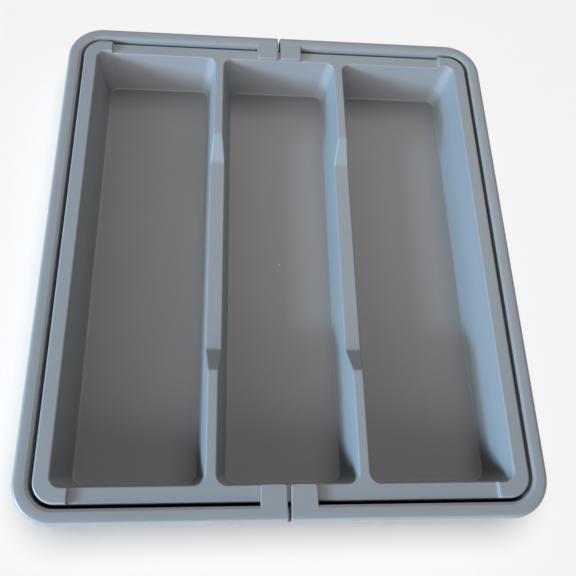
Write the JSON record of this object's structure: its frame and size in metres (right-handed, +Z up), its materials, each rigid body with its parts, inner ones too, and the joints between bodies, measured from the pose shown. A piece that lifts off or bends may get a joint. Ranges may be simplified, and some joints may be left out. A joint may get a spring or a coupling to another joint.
{
  "type": "expandable cutlery tray",
  "caption": "Flat grey plastic cutlery tray for a drawer: long compartments in a centre tray, with side wings that slide out from under its rim to widen it.",
  "frame": {"origin": "middle of the closed tray, on the surface that its feet stand on", "axes": "+X to the right, the way the right wing pulls out; +Y from the front edge to the back edge; +Z up"},
  "size_m": [0.33, 0.372, 0.045],
  "materials": {
    "moulding": "satin mid-grey polypropylene with a fine moulded grain",
    "rubber": "matt dark grey rubber"
  },
  "bodies": {
    "centre": {"centre_tray": "moulding"},
    "left_wing": {"left_wing": "moulding", "left_front_outer_foot": "rubber", "left_front_inner_foot": "rubber", "left_back_outer_foot": "rubber", "left_back_inner_foot": "rubber"},
    "right_wing": {"right_wing": "moulding", "right_front_outer_foot": "rubber", "right_front_inner_foot": "rubber", "right_back_outer_foot": "rubber", "right_back_inner_foot": "rubber"}
  },
  "joints": [
    {"name": "left_wing_slide", "type": "slide", "parent": "centre", "child": "left_wing", "axis": [-1, 0, 0], "range_m": [0, 0.114]},
    {"name": "right_wing_slide", "type": "slide", "parent": "centre", "child": "right_wing", "axis": [1, 0, 0], "range_m": [0, 0.114]}
  ]
}
